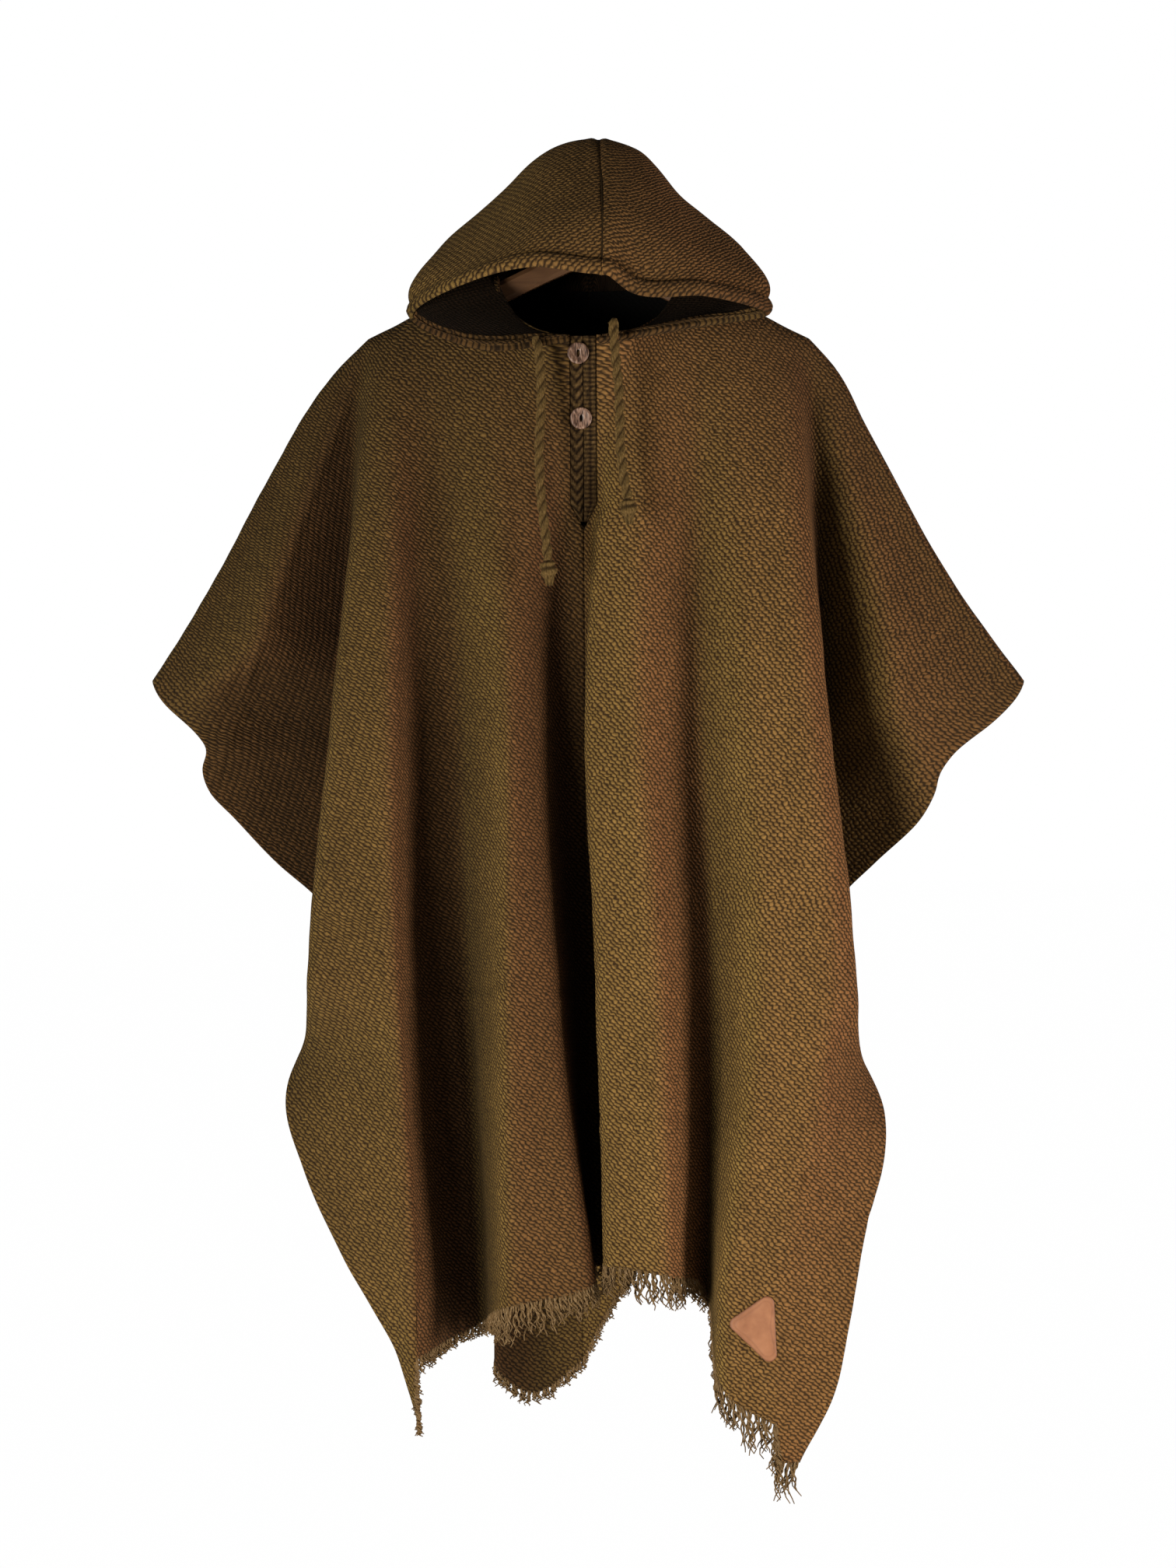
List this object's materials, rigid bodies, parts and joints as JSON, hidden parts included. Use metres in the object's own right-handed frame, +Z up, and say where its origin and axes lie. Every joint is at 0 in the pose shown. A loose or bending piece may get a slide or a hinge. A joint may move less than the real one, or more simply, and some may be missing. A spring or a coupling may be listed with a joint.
{
  "type": "hooded poncho on a clothes hanger",
  "caption": "Hooded poncho of woven brown wool with a neck slit, bands and buttons, a hood drawstring, a fringed hem and a leather patch, hanging open on a wooden clothes hanger.",
  "frame": {"origin": "saddle of the hanger's hook, where the hanger and the garment hang from a rail or peg", "axes": "+Z up along the hook's stem, -Y the way the garment's front and the hood's opening face, +X to the right of someone who looks at the front"},
  "size_m": [0.8953, 0.2455, 1.368],
  "materials": {
    "width_left": "matt handwoven wool",
    "width_right": "matt handwoven wool",
    "hood_left": "matt handwoven wool",
    "hood_right": "matt handwoven wool",
    "placket_left": "braided wool band",
    "placket_right": "ribbed wool band",
    "button_upper": "polished",
    "button_lower": "polished",
    "drawstring_left": "twisted wool cord",
    "drawstring_right": "twisted wool cord",
    "knot_left": "twisted wool cord",
    "knot_right": "twisted wool cord",
    "fringe_front_left": "wool fringe",
    "fringe_front_right": "wool fringe",
    "fringe_back_left": "wool fringe",
    "fringe_back_right": "wool fringe",
    "patch": "soft matt leather",
    "hanger_wood": "varnished",
    "hanger_hook": "smooth wire"
  },
  "bodies": {
    "root": {"width_left": "width_left", "width_right": "width_right", "hood_left": "hood_left", "hood_right": "hood_right", "placket_left": "placket_left", "placket_right": "placket_right", "button_upper": "button_upper", "button_lower": "button_lower", "drawstring_left": "drawstring_left", "drawstring_right": "drawstring_right", "knot_left": "knot_left", "knot_right": "knot_right", "fringe_front_left": "fringe_front_left", "fringe_front_right": "fringe_front_right", "fringe_back_left": "fringe_back_left", "fringe_back_right": "fringe_back_right", "patch": "patch", "hanger_wood": "hanger_wood", "hanger_hook": "hanger_hook"}
  },
  "joints": []
}
